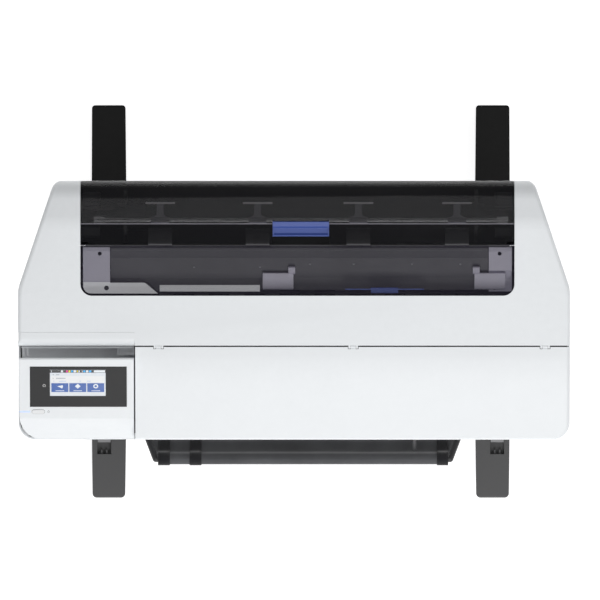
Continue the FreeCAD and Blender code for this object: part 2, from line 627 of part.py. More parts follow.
def carriage_belt():
    """Flat loop of toothed belt round the two pulleys."""
    middle = (sum(PULLEYS_X) / 2, sum(BELT_Y) / 2)
    reach = (PULLEYS_X[1] - PULLEYS_X[0]) / 2
    def loop(radius):
        shape = [box((middle[0] - reach, middle[0] + reach), BELT_Y, (BELT_Z - radius, BELT_Z + radius))]
        return fuse(shape + [rod_y(x, BELT_Y, BELT_Z, radius) for x in PULLEYS_X])
    return loop(PULLEY_R + BELT_THICK).cut(loop(PULLEY_R + 0.05))


def belt_pulley(x):
    """Toothed pulley of the carriage belt."""
    wheel = rod_y(x, (BELT_Y[0] - 0.5, BELT_Y[1] + 0.5), BELT_Z, PULLEY_R)
    grooves = [rod_y(x + (PULLEY_R + 0.4) * math.cos(math.radians(20 * k)),
                     (BELT_Y[0] - 1, BELT_Y[1] + 1),
                     BELT_Z + (PULLEY_R + 0.4) * math.sin(math.radians(20 * k)), 0.8)
               for k in range(18)]
    return cut(wheel, grooves + [rod_y(x, (BELT_Y[0] - 2, BELT_Y[1] + 2), BELT_Z, 2.5 + RUNNING)])


def cap_station():
    """Capping and wiping station under the parked carriage."""
    tub = box((336, 397), (-56, -4), (685, 750)).cut(box((340, 393), (-52, -8), (712, 760)))
    cap = box((345, 385), (-46, -14), (711, 754.5))
    wiper = box((337, 339), (-40, -20), (749, 755))
    return fuse([tub, cap, wiper])


def cutter():
    """Cutter block that slides along its rail."""
    block = box(CUTTER_X, (CUTTER_RAIL_Y[0] - 6, CUTTER_RAIL_Y[1] + 6), (756, 782))
    jaws = [box(CUTTER_X, y, (744, 757)) for y in
            ((CUTTER_RAIL_Y[0] - 6, CUTTER_RAIL_Y[0] - 0.2), (CUTTER_RAIL_Y[1] + 0.2, CUTTER_RAIL_Y[1] + 6))]
    roof = box(CUTTER_X, (CUTTER_RAIL_Y[0] - 1, CUTTER_RAIL_Y[1] + 1), (752.2, 757))
    axle = rod_y(sum(CUTTER_X) / 2, (-99, -93.5), BLADE_Z, 2)
    return fuse([block, roof, axle] + jaws)


def cutter_blade():
    """Round blade on the rear of the cutter block."""
    x = sum(CUTTER_X) / 2
    blade = rod_y(x, (-97, -96), BLADE_Z, 11)
    hub = rod_y(x, (-97.4, -94.4), BLADE_Z, 4.5)
    return cut(fuse([blade, hub]), [rod_y(x, (-99, -90), BLADE_Z, 2 + RUNNING)])


CARTRIDGES_X = (344.0, 372.0, 400.0, 428.0)


def cartridge_holder():
    """Open rack for four ink cartridges under the right end of the front cover."""
    rack = box((340, 456), (-222, -122), (742, 790)).cut(
        fuse([box((x, x + 26), (-230, -126), (746, 800)) for x in CARTRIDGES_X]))
    return rack


def ink_cartridges():
    """Four ink cartridges, loaded from the front into the rack."""
    tanks = []
    for x in CARTRIDGES_X:
        tank = box((x + 1, x + 25), (-222, -130), (746, 788))
        grip = box((x + 7, x + 19), (-225, -221), (762, 782))
        tanks.append(fuse([tank, grip]))
    return tanks


def motors():
    """Feed motor on the left side plate, and carriage motor behind the right belt pulley."""
    feed = rod_x((-391.5, -362), MOTOR_AXIS, 18).cut(rod_x((-392, -389), MOTOR_AXIS, 3.3))
    return [feed, rod_y(PULLEYS_X[1], (68, 93), BELT_Z, 16)]


def power_supply():
    """Mains power supply in its perforated case."""
    case = box((215, 335), (50, 160), (685, 740))
    slots = [box((x, x + 4), (60, 150), (735, 745)) for x in range(228, 322, 10)]
    return cut(case, [box((217, 333), (52, 158), (687, 738))] + slots)


def main_board():
    """Controller board on four posts, with its connector blocks."""
    board = box((-250, -60), (70, 190), (700, 701.6))
    posts = [rod_z(x, y, (685, 700), 3) for x in (-242, -68) for y in (78, 182)]
    blocks = [box((x, x + 16), (170, 189), (701.6, 713)) for x in range(-240, -90, 30)]
    return fuse([board] + posts + blocks)


def power_inlet():
    """Mains inlet in the rear cover."""
    shell = box((300.5, 327.5), (188, 211), (703.5, 726.5)).cut(
        box((303, 325), (192, 220), (706, 724)))
    pins = [box((x - 1, x + 1), (190, 205), (711, 719)) for x in (308, 314, 320)]
    return fuse([shell] + pins)


# ---- stand ------------------------------------------------------------------------------------------
PEDAL_SHIFT = 8.5
PEDAL_AXIS = (-241.5, 77.0)


def outward(x):
    return -1 if x < 0 else 1


def stand_foot(x):
    """Long foot whose top falls away to both ends, with two caster sockets and a pedal pocket."""
    end = FOOT_HALF_LENGTH
    side = profile([(-end, FOOT_BOTTOM, 2), (end, FOOT_BOTTOM, 2), (end, 72, 4), (60, 100, 30),
                    (-60, 100, 30), (-end, 72, 4)], (x - 40, x + 40))
    o = outward(x)
    inner, outer = x - o * 31.0, x + o * 31.0
    shape = plan([(inner, 200, 0), (inner + o * 1.5, end, 6), (outer - o * 0.5, end, 6),
                  (outer, 200, 0), (outer, -200, 0), (outer - o * 1.5, -end, 8),
                  (inner + o * 2, -end, 8), (inner, -200, 0)], (40, 120))
    foot = side.common(shape)
    pocket_x = x + o * PEDAL_SHIFT
    holes = [box((pocket_x - 12.5, pocket_x + 12.5), (-273, -238), (68, 120))]
    holes += [rod_z(x, s * CASTER_Y, (50, 69), 5 + RUNNING) for s in (-1, 1)]
    holes.append(rod_x((pocket_x - 15, pocket_x + 15), PEDAL_AXIS, 1.5 + RUNNING))
    ribs = [box((pocket_x + d - 1.5, pocket_x + d + 1.5), (-273, -265), (68, 76))
            for d in (-4.5, 4.5)]
    return fuse([cut(foot, holes)] + ribs)


def stand_leg(x):
    """Upright column with the bracket that the body is bolted to."""
    column = box((x - 20, x + 20), (-55, 55), (100, 672))
    column = fillet(column, 6.0, lambda b: upright(b))
    bore = box((x - 17.5, x + 17.5), (-52, 52), (99, 671))
    plate = plan([(x - 30, -170, 12), (x + 30, -170, 12), (x + 30, 150, 12), (x - 30, 150, 12)],
                 (671, BASE))
    web = profile([(-54, 590, 0), (-150, 671.5, 0), (-54, 671.5, 0)], (x - 2, x + 2))
    rear_web = profile([(54, 600, 0), (135, 671.5, 0), (54, 671.5, 0)], (x - 2, x + 2))
    shape = fuse([cut(column, [bore]), plate, web, rear_web])
    return cut(shape, [rod_z(x + dx, y, (660, 690), 3.3) for dx in (-20, 20)
                       for y in (-150, 130)])


def stand_beam():
    """Box beam between the legs, with an end plate at each leg."""
    left, right = FEET_X[0] + 20, FEET_X[1] - 20
    tube = box((left + 3, right - 3), (-16, 16), (300, 372))
    tube = tube.cut(box((left + 1, right - 1), (-14, 14), (302, 370)))
    plates = [box((left, left + 3), (-40, 40), (290, 382)),
              box((right - 3, right), (-40, 40), (290, 382))]
    return fuse([tube] + plates)


def hex_head(radius, height):
    corners = [(radius * math.cos(math.radians(60 * k)), radius * math.sin(math.radians(60 * k)), 0)
               for k in range(6)]
    return plan(corners, (0, height))


def stand_bolts():
    """Bolts that hold the body to the stand and the beam to the legs."""
    bolts = []
    for x in FEET_X:
        for dx in (-20, 20):
            for y in (-150, 130):
                head = hex_head(6, 5)
                head.translate(Vector(x + dx, y, 666))
                bolts.append(fuse([head, rod_z(x + dx, y, (670, BASE), 3)]))
    return bolts


def tube_path(points, radius):
    """Bent rod: straight runs joined by balls."""
    runs = [rod(a, b, radius) for a, b in zip(points, points[1:])]
    balls = [Part.makeSphere(radius, Vector(*p)) for p in points[1:-1]]
    return fuse(runs + balls)


BASKET_ROD = (-279.0, 500.0)
BASKET_REAR = (-36.0, 262.0)
BASKET_X = (-242.0, 273.0)


def basket_frame():
    """Front rod with its arms, the rear rod, and the stay under the body's front edge."""
    front_y, front_z = BASKET_ROD
    ends = ((FEET_X[0] + 2, -245.0), (FEET_X[1] + 6, 276.5))
    corners = [(inner, front_y, front_z) for _, inner in ends]
    roots = [(leg, -58.4, 420) for leg, _ in ends]
    front = tube_path([roots[0], corners[0], corners[1], roots[1]], 5.5)
    flanges = [box((leg - 14, leg + 14), (-60, -55), (402, 438)) for leg, _ in ends]
    rear = rod_x((FEET_X[0] + 20, FEET_X[1] - 20), BASKET_REAR, 6)
    x = 213.0
    stay = tube_path([(x, -262, 505), (x, -236, 560), (x, -176, 668), (x, -176, BASE)], 4.0)
    return [fuse([front] + flanges), rear, stay]


def basket_cloth():
    """Cloth sling, hemmed over the front rod and hung from the rear rod."""
    y, z = BASKET_ROD
    rear_y, rear_z = BASKET_REAR
    return strip([(y - 9, z - 14, 0), (y - 9, z + 9, 8), (y + 9, z + 9, 8), (y + 11, z - 40, 30),
                  (y + 55, 262, 60), (-112, 215, 60), (rear_y + 8.5, 238, 30),
                  (rear_y + 8.5, rear_z + 8.5, 7), (rear_y - 8.5, rear_z + 8.5, 7),
                  (rear_y - 8.5, rear_z - 3, 0)], 3, BASKET_X)


def caster_fork(x, y):
    """Swivelling yoke with its stem. The wheel trails towards the rear."""
    stem = rod_z(x, y, (53, 68), 5)
    crown = rod_z(x, y, (51, 54), 20)
    cheeks = []
    for side in (-1, 1):
        cheek = profile([(y - 12, 52, 0), (y + 18, 52, 4), (y + 20, 25, 6), (y + 8, 18, 6),
                         (y - 12, 44, 4)], (x + side * 13 - 1.5, x + side * 13 + 1.5))
        cheeks.append(cheek)
    return cut(fuse([stem, crown] + cheeks), [rod_x((x - 16, x + 16), (y + 12, WHEEL_R), 3.05)])


def caster_wheel(x, y):
    tyre = rod_x((x - 10, x + 10), (y + 12, WHEEL_R), WHEEL_R)
    tyre = fillet(tyre, 3.0, lambda b: b.XLength < 1e-3)
    return fuse([tyre, rod_x((x - 14.5, x + 14.5), (y + 12, WHEEL_R), 3)])


def brake_pedal(x):
    """Brake pedal on its own pin, in the pocket of a front foot."""
    y, z = PEDAL_AXIS
    middle = x + outward(x) * PEDAL_SHIFT
    pad = profile([(-252, 84, 1), (-246, 86, 2), (y + 2.6, z + 2, 1), (y + 2.6, z - 3, 1),
                   (-246, z - 3, 2), (-251, 80, 1)], (middle - 11.5, middle + 11.5))
    return fuse([pad, rod_x((middle - 14.5, middle + 14.5), PEDAL_AXIS, 1.5)])


def write(name, shape):
    """Writes one node, as one solid or a group of separate ones."""
    shapes = shape if isinstance(shape, list) else [shape]
    solids = [s for item in shapes for s in item.Solids]
    for solid in solids:
        if not solid.isValid() or solid.Volume <= 0:
            print("bad solid in", name)
    result = solids[0] if len(solids) == 1 else Part.Compound(solids)
    result.exportStep(f"parts/{name}.step")
    print(name, len(solids), round(result.Volume / 1000, 1), "cm3")


NODES = {
    "hood": hood, "lower_covers": lower_covers, "rear_cover": rear_cover, "base_pan": base_pan,
    "front_cover": front_cover, "roll_cover": roll_cover, "roll_cover_grip": roll_cover_grip,
    "press_shaft": press_shaft, "press_levers": press_levers, "feeder_cover": feeder_cover,
    "feeder_grip": feeder_grip, "hinge_pins": hinge_pins, "panel_housing": panel_housing,
    "panel_glass": panel_glass, "lcd_screen": lcd_screen, "status_light": status_light,
    "power_button": power_button, "panel_bay": panel_bay, "feeder_deck": feeder_deck,
    "feeder_trims": feeder_trims, "edge_guide_left": lambda: edge_guide(-1),
    "edge_guide_right": lambda: edge_guide(1), "bay_wall": bay_wall, "roll_holders": roll_holders,
    "roll_adapter_left": lambda: roll_adapter(-1), "roll_adapter_right": lambda: roll_adapter(1),
    "chassis": chassis, "platen": platen, "feed_roller": feed_roller,
    "motor_pinion": motor_pinion, "pinch_rollers": pinch_rollers, "carriage": carriage,
    "carriage_belt": carriage_belt, "idler_pulley": lambda: belt_pulley(PULLEYS_X[0]),
    "drive_pulley": lambda: belt_pulley(PULLEYS_X[1]), "cap_station": cap_station,
    "cutter": cutter, "cutter_blade": cutter_blade, "cartridge_holder": cartridge_holder,
    "ink_cartridges": ink_cartridges, "motors": motors, "power_supply": power_supply,
    "main_board": main_board, "power_inlet": power_inlet,
    "stand_feet": lambda: [stand_foot(x) for x in FEET_X],
    "stand_legs": lambda: [stand_leg(x) for x in FEET_X], "stand_beam": stand_beam,
    "stand_bolts": stand_bolts, "basket_frame": basket_frame, "basket_cloth": basket_cloth,
}
for side, foot_x in zip(("left", "right"), FEET_X):
    NODES[f"brake_pedal_{side}"] = lambda x=foot_x: brake_pedal(x)
    for end, caster_y in (("front", -CASTER_Y), ("rear", CASTER_Y)):
        NODES[f"caster_fork_{end}_{side}"] = lambda x=foot_x, y=caster_y: caster_fork(x, y)
        NODES[f"caster_wheel_{end}_{side}"] = lambda x=foot_x, y=caster_y: caster_wheel(x, y)

for node_name, build in NODES.items():
    write(node_name, build())
print(len(NODES), "nodes")
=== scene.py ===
import json
import math
import bmesh
import bpy
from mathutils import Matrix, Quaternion, Vector


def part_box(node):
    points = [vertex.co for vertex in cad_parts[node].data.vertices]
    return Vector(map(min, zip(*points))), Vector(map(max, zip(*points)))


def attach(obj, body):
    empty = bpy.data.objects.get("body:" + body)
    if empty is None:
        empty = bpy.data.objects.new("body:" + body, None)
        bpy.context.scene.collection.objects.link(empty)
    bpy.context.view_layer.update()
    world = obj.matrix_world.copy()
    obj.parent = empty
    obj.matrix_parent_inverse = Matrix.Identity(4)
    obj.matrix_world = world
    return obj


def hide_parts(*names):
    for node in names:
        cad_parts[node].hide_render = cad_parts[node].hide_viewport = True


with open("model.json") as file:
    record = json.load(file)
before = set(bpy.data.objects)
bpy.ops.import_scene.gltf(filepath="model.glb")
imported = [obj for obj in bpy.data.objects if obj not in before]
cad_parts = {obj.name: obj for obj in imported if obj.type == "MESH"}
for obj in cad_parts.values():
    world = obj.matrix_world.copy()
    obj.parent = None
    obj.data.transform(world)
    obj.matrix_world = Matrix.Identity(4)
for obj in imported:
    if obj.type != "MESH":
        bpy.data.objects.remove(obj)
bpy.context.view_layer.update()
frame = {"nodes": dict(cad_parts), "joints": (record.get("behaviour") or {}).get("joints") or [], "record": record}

MM = 0.001
MIX_A, MIX_B, MIX_RESULT = 6, 7, 2      # places of a mix node's colour sockets
WEAR_FROM, WEAR_TO = 0.515, 0.56        # pointiness at which edge wear starts and is complete


# ---- material helpers --------------------------------------------------------------------------
class Nodes:
    """A new node material and short ways to add to it."""

    def __init__(self, name, colour, roughness, metallic=0.0):
        self.material = bpy.data.materials.new(name)
        self.material.use_nodes = True
        self.tree = self.material.node_tree
        self.shader = self.tree.nodes["Principled BSDF"]
        self.set(base_color=(*colour, 1), roughness=roughness, metallic=metallic)
        self.place = self.add("ShaderNodeTexCoord").outputs["Object"]

    def set(self, **values):
        for key, value in values.items():
            label = key.replace("_", " ").title().replace("Ior", "IOR")
            self.shader.inputs[label].default_value = value

    def add(self, kind, **inputs):
        node = self.tree.nodes.new(kind)
        for key, value in inputs.items():
            self.feed(value, node.inputs[key.replace("_", " ")])
        return node

    def feed(self, value, socket):
        if isinstance(value, bpy.types.NodeSocket):
            self.tree.links.new(value, socket)
        else:
            socket.default_value = value

    def noise(self, scale, detail=3.0, stretch=None):
        place = self.place
        if stretch:
            place = self.add("ShaderNodeMapping", Vector=place, Scale=stretch).outputs["Vector"]
        node = self.add("ShaderNodeTexNoise", Vector=place, Scale=scale, Detail=detail)
        return node.outputs["Fac"]

    def maths(self, operation, *values):
        node = self.tree.nodes.new("ShaderNodeMath")
        node.operation = operation
        for value, socket in zip(values, node.inputs):
            self.feed(value, socket)
        return node.outputs["Value"]

    def ramp(self, value, low, high, start=0.3, end=0.7):
        node = self.add("ShaderNodeValToRGB", Fac=value)
        first, last = node.color_ramp.elements
        first.position, last.position = start, end
        first.color, last.color = (*low, 1), (*high, 1)
        return node.outputs["Color"]

    def spread(self, value, low, high):
        node = self.add("ShaderNodeMapRange", Value=value, To_Min=low, To_Max=high)
        return node.outputs["Result"]

    def colour(self, socket):
        self.feed(socket, self.shader.inputs["Base Color"])

    def rough(self, socket):
        self.feed(socket, self.shader.inputs["Roughness"])

    def bump(self, height, strength, distance=0.0002):
        node = self.add("ShaderNodeBump", Height=height, Strength=strength, Distance=distance)
        if self.shader.inputs["Normal"].links:
            self.feed(self.shader.inputs["Normal"].links[0].from_socket, node.inputs["Normal"])
        self.feed(node.outputs["Normal"], self.shader.inputs["Normal"])


def tone(colour, factor):
    return tuple(min(1.0, c * factor) for c in colour)


def edge_wear(n, colour, worn, amount=0.5):
    """Blends to a worn colour on raised edges, broken up by noise."""
    point = n.add("ShaderNodeNewGeometry").outputs["Pointiness"]
    edge = n.add("ShaderNodeMapRange", Value=point, From_Min=WEAR_FROM, From_Max=WEAR_TO)
    patch = n.spread(n.noise(90.0), 0.0, amount)
    share = n.maths("MULTIPLY", edge.outputs["Result"], patch)
    mix = n.add("ShaderNodeMix")
    mix.data_type = "RGBA"
    n.feed(share, mix.inputs["Factor"])
    n.feed(colour, mix.inputs[MIX_A])
    n.feed((*worn, 1), mix.inputs[MIX_B])
    return mix.outputs[MIX_RESULT]


def plastic(name, colour, roughness=0.45, grain=2600.0, grain_depth=0.12, mottle=0.03):
    """Moulded plastic: spark-eroded grain, faint mottling and an uneven gloss."""
    n = Nodes(name, colour, roughness)
    cloud = n.noise(7.0, 4.0)
    shade = n.ramp(cloud, tone(colour, 1 - mottle), tone(colour, 1 + mottle))
    n.colour(edge_wear(n, shade, tone(colour, 1.12), 0.35))
    n.rough(n.spread(n.noise(30.0), roughness - 0.05, roughness + 0.07))
    n.bump(n.noise(grain, 2.0), grain_depth, 0.00012)
    return n


def painted(name, colour, roughness=0.42):
    """Powder coat: fine orange peel, edges worn a little lighter."""
    n = Nodes(name, colour, roughness)
    shade = n.ramp(n.noise(14.0, 5.0), tone(colour, 0.92), tone(colour, 1.08))
    n.colour(edge_wear(n, shade, tone(colour, 1.6), 0.5))
    n.rough(n.spread(n.noise(220.0), roughness - 0.07, roughness + 0.1))
    n.bump(n.noise(900.0, 2.0), 0.25, 0.00015)
    return n


def brushed(name, colour, roughness=0.3, along=(3.0, 260.0, 260.0)):
    """Metal with fine lines along one direction."""
    n = Nodes(name, colour, roughness, 1.0)
    lines = n.noise(8.0, 4.0, along)
    n.colour(n.ramp(lines, tone(colour, 0.82), tone(colour, 1.08)))
    n.rough(n.spread(lines, roughness - 0.08, roughness + 0.14))
    n.bump(lines, 0.15, 0.00005)
    return n


def rubber(name, colour):
    """Rubber: dull and slightly dusty, with a fine grain."""
    n = Nodes(name, colour, 0.7)
    n.colour(n.ramp(n.noise(60.0, 5.0), tone(colour, 0.8), tone(colour, 1.35)))
    n.rough(n.spread(n.noise(180.0), 0.6, 0.85))
    n.bump(n.noise(1500.0, 2.0), 0.3, 0.00015)
    return n


def tinted(name, colour, alpha, roughness=0.06):
    """Smoke-tinted clear plastic: light passes straight through, with a soft gloss on its skin."""
    n = Nodes(name, colour, roughness)
    n.colour(n.ramp(n.noise(9.0), tone(colour, 0.85), tone(colour, 1.2)))
    n.rough(n.spread(n.noise(7.0, 1.0), roughness, roughness + 0.05))
    n.set(alpha=alpha, specular_ior_level=0.28)
    return n


def tint_with_painted_glint(name, colour, alpha, crease_y):
    """Tinted plastic with a painted highlight: a bright, less clear line along its sharp bend, across the whole
    width, where the bend catches the light.
    """
    half_width, glint, glint_alpha = 0.55 * MM, (0.30, 0.29, 0.33), 0.9
    n = tinted(name, colour, alpha)
    along = n.add("ShaderNodeSeparateXYZ", Vector=n.place).outputs["Y"]
    # painted highlight: a narrow band about the crease is made brighter and less clear
    bend = n.maths("COMPARE", along, crease_y, half_width)
    n.colour(n.ramp(bend, colour, glint, 0.0, 1.0))
    n.feed(n.spread(bend, alpha, glint_alpha), n.shader.inputs["Alpha"])
    return n


def foot_paint_with_painted_shade(name, colour, far, near, ends):
    """Satin paint on a long foot, from a lit colour near the front to a near-black shaded one near the rear:
    painted light and shade.
    """
    n = painted(name, colour)
    along = n.add("ShaderNodeSeparateXYZ", Vector=n.place).outputs["Y"]
    # painted light and shade: lit near the front end, shaded near the rear end, along y
    lit_to_shaded = n.add("ShaderNodeMapRange", Value=along, From_Min=ends[0], From_Max=ends[1])
    n.colour(n.ramp(lit_to_shaded.outputs["Result"], near, far, 0.4, 0.6))
    n.set(specular_ior_level=0.2)
    return n


def glowing(name, colour, strength, roughness=0.2):
    """Lit display or light guide behind a smooth skin."""
    n = Nodes(name, tone(colour, 0.5), roughness)
    n.set(emission_color=(*colour, 1), emission_strength=strength)
    n.rough(n.spread(n.noise(120.0), roughness - 0.05, roughness + 0.05))
    return n


def woven(name, colour, pitch=0.0011):
    """Plain weave: two sets of threads over and under each other, with fuzz and uneven dye."""
    n = Nodes(name, colour, 0.9)
    scaled = n.add("ShaderNodeVectorMath", Vector=n.place)
    scaled.operation = "SCALE"
    n.feed(1 / pitch, scaled.inputs["Scale"])
    threads = n.add("ShaderNodeTexChecker", Vector=scaled.outputs["Vector"], Scale=1.0)
    cloud = n.noise(16.0, 6.0)
    n.colour(n.ramp(cloud, tone(colour, 0.78), tone(colour, 1.25), 0.25, 0.75))
    n.set(sheen_weight=0.35, sheen_roughness=0.5, specular_ior_level=0.2)
    n.bump(threads.outputs["Fac"], 0.35, 0.0003)
    n.bump(n.noise(900.0, 2.0), 0.3, 0.0002)
    return n


def printed_board(name, colour):
    """Solder mask with copper tracks showing as slightly raised lines."""
    n = Nodes(name, colour, 0.35)
    bricks = n.add("ShaderNodeTexBrick", Vector=n.place, Scale=90.0, Color1=(0, 0, 0, 1),
                   Color2=(0.1, 0.1, 0.1, 1), Mortar=(1, 1, 1, 1))
    tracks = bricks.outputs["Color"]
    n.colour(n.ramp(tracks, colour, tone(colour, 1.9), 0.4, 0.9))
    n.bump(tracks, 0.3, 0.0002)
    return n


# ---- finishes of the CAD nodes -----------------------------------------------------------------
LID_CREASE_Y = 0.1362
# front and rear ends, along y, of the painted light and shade on the feet
FOOT_ENDS = (-0.3, 0.3)
materials = {
    "shell_white": plastic("shell white", (0.845, 0.870, 0.890), 0.42, 2400.0, 0.06, 0.008),
    "casing_grey": plastic("casing grey", (0.20, 0.205, 0.215), 0.5),
    "bay_grey": plastic("bay grey", (0.72, 0.73, 0.75), 0.5),
    "pan_steel": brushed("zinc sheet", (0.20, 0.205, 0.215), 0.6),
    # the dark smoke tint of the roll lid carries a painted highlight along its crease
    "tint_roll": tint_with_painted_glint("smoke tint dark", (0.006, 0.006, 0.008), 0.50, LID_CREASE_Y),
    "tint_feeder": tinted("smoke tint", (0.030, 0.026, 0.044), 0.22),
    "grip_blue": plastic("grip blue", (0.045, 0.085, 0.33), 0.38, 2600.0, 0.1, 0.06),
    "shaft_steel": brushed("ground steel", (0.58, 0.58, 0.60), 0.24),
    "lever_black": plastic("lever grey", (0.34, 0.33, 0.38), 0.4),
    "panel_glass": plastic("panel glass", (0.040, 0.040, 0.041), 0.30, 40.0, 0.01, 0.05),
    "lcd": glowing("display", (0.70, 0.76, 0.84), 0.55),
    "light_bar": glowing("light bar", (0.50, 0.63, 1.0), 0.75),
    "button_white": plastic("button white", (0.82, 0.83, 0.84), 0.3, 2400.0, 0.04, 0.01),
    "deck_black": plastic("deck black", (0.105, 0.105, 0.112), 0.5, 400.0, 0.02, 0.08),
    "trim_grey": plastic("trim grey", (0.60, 0.58, 0.68), 0.45, 2400.0, 0.04, 0.04),
    "holder_black": plastic("holder black", (0.075, 0.075, 0.082), 0.5),
    "adapter_black": plastic("adapter black", (0.05, 0.05, 0.055), 0.4),
    "chassis_steel": brushed("zinc plate", (0.22, 0.225, 0.235), 0.36),
    "roller_rubber": rubber("roller rubber", (0.035, 0.035, 0.037)),
    "pinch_grey": plastic("pinch grey", (0.12, 0.12, 0.125), 0.45),
    "gear_plastic": plastic("acetal", (0.70, 0.67, 0.58), 0.4),
    "pulley_metal": brushed("turned aluminium", (0.62, 0.62, 0.64), 0.28, (260.0, 3.0, 260.0)),
    "carriage_grey": plastic("carriage grey", (0.05, 0.05, 0.056), 0.45),
    "belt_black": rubber("belt rubber", (0.022, 0.022, 0.022)),
    "cap_grey": plastic("cap grey", (0.09, 0.09, 0.10), 0.5),
    "blade_steel": brushed("blade steel", (0.66, 0.66, 0.68), 0.18, (120.0, 120.0, 120.0)),
    "cartridge": plastic("cartridge", (0.040, 0.040, 0.048), 0.45),
    "motor_metal": brushed("motor can", (0.24, 0.24, 0.25), 0.34),
    "supply_metal": brushed("supply case", (0.55, 0.56, 0.57), 0.4),
    "board_green": printed_board("solder mask", (0.012, 0.085, 0.035)),
    "inlet_black": plastic("inlet black", (0.02, 0.02, 0.02), 0.4),
    # the feet's lit front and near-black rear are painted light and shade
    "foot_paint": foot_paint_with_painted_shade("foot paint with painted shade", (0.050, 0.050, 0.052), (0.004, 0.004, 0.004),
                         (0.125, 0.125, 0.127), FOOT_ENDS),
    "leg_paint": painted("leg paint", (0.105, 0.108, 0.115)),
    "rod_paint": painted("rod paint", (0.045, 0.045, 0.048)),
    "cloth": woven("basket cloth", (0.105, 0.107, 0.113)),
    "pedal_grey": plastic("pedal grey", (0.26, 0.26, 0.27), 0.45),
    "fork_steel": painted("fork paint", (0.04, 0.04, 0.043)),
    "wheel_rubber": rubber("wheel rubber", (0.028, 0.028, 0.030)),
}
for part in frame["record"]["subparts"]:
    node = frame["nodes"][part["node"]]
    node.data.materials.clear()
    node.data.materials.append(materials[part["material_slot"]].material)
materials["panel_glass"].set(specular_ior_level=0.12)


def second_finish(node, finish, chosen):
    """Gives another finish to those faces of a CAD node whose middle passes a test."""
    data = frame["nodes"][node].data
    data.materials.append(finish.material)
    for face in data.polygons:
        if chosen(face.center):
            face.material_index = len(data.materials) - 1


SILL_REAR_Y, SILL_RIGHT_X = 0.0335, -0.05       # the pale sill is in front and left of these
LEVER_TIP_Y, LEVER_PAD_Y = 0.1708, 0.1395       # ends behind the first carry a painted highlight, pads lie before the other
pale = plastic("pale sill", (0.93, 0.93, 0.95), 0.4, 2400.0, 0.03, 0.02)
# the emission is painted light: it makes the pale sill glow brighter than the lamps alone light it
pale.set(emission_color=(0.95, 0.96, 1.0, 1.0), emission_strength=0.16)
second_finish("feeder_trims", pale, lambda c: c.y < SILL_REAR_Y and c.x < SILL_RIGHT_X)
# near-white lever ends: painted highlight along the top edge of each crossbar
highlight_tips = plastic("lever tips", (0.95, 0.93, 0.98), 0.3, 2400.0, 0.03, 0.02)
second_finish("press_levers", highlight_tips, lambda c: c.y > LEVER_TIP_Y)
pads = plastic("lever pads", (0.80, 0.76, 0.95), 0.45, 2400.0, 0.03, 0.05)
second_finish("press_levers", pads, lambda c: c.y < LEVER_PAD_Y)


# ---- geometry helpers --------------------------------------------------------------------------
RIGHT, REARWARD, UPWARD = Vector((1, 0, 0)), Vector((0, 1, 0)), Vector((0, 0, 1))


def new_piece(name, mesh, body, finishes, smooth=False):
    """Links a bmesh as a piece that rides on a body."""
    data = bpy.data.meshes.new(name)
    mesh.normal_update()
    mesh.to_mesh(data)
    mesh.free()
    piece = bpy.data.objects.new(name, data)
    bpy.context.scene.collection.objects.link(piece)
    for finish in finishes:
        data.materials.append(finish.material)
    for face in data.polygons:
        face.use_smooth = smooth
    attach(piece, body)
    return piece


def add_prism(mesh, corners, up, depth, finish=0):
    """Closed slab: a face through corners, and its copy moved back by depth against up."""
    top = [mesh.verts.new(c) for c in corners]
    bottom = [mesh.verts.new(c - up * depth) for c in corners]
    faces = [mesh.faces.new(top), mesh.faces.new(bottom[::-1])]
    count = len(corners)
    for i in range(count):
        j = (i + 1) % count
        faces.append(mesh.faces.new((bottom[i], bottom[j], top[j], top[i])))
    for face in faces:
        face.material_index = finish


def circle(centre, across, along, radius, steps=24, start=0.0, sweep=360.0):
    """Points of an arc in the plane of two unit directions."""
    whole = sweep >= 360.0
    count = steps if whole else steps + 1
    angles = [math.radians(start + sweep * i / steps) for i in range(count)]
    return [centre + across * radius * math.cos(a) + along * radius * math.sin(a) for a in angles]


def surface_point(node, x, y):
    """Point on the upper side of a CAD node, or None beside it."""
    above_all = 2.0
    hit, place, _, _ = frame["nodes"][node].ray_cast(Vector((x, y, above_all)), -UPWARD)
    return place if hit else None


def add_ring(mesh, outer, inner, up, depth, finish=0):
    """Closed ring slab between two loops with the same number of points."""
    rows = [[mesh.verts.new(p + up * h) for p in loop] for loop, h in
            ((outer, 0.0), (inner, 0.0), (inner, -depth), (outer, -depth))]
    count = len(outer)
    for a, b in zip(rows, rows[1:] + rows[:1]):
        for i in range(count):
            j = (i + 1) % count
            mesh.faces.new((a[i], a[j], b[j], b[i])).material_index = finish


# ---- control panel picture and marks -----------------------------------------------------------
SHADES = [(0.82, 0.86, 0.91), (0.92, 0.93, 0.94), (0.012, 0.10, 0.44), (0.90, 0.95, 1.0),
          (0.006, 0.006, 0.006), (0.86, 0.0, 0.32), (0.95, 0.80, 0.0), (0.0, 0.42, 0.90),
          (0.48, 0.51, 0.56), (0.62, 0.72, 0.90)]
PAGE, BAND, BUTTON, ICON, BAR, MAGENTA, YELLOW, CYAN, DARK_INK, PALE_INK = range(len(SHADES))
TILE_DEPTH = 0.05 * MM
PRINT_DEPTH = 0.06 * MM
KEY_RADIUS = 4 * MM                     # round ends of the power button
KEY_PROUD = 0.72 * MM                   # from its top down to the ring and the symbol
press = next(j for j in frame["joints"] if j["name"] == "power_button_press")
PANEL_UP = -Vector(press["axis"]).normalized()
PANEL_ALONG = Vector((0, PANEL_UP.z, -PANEL_UP.y))


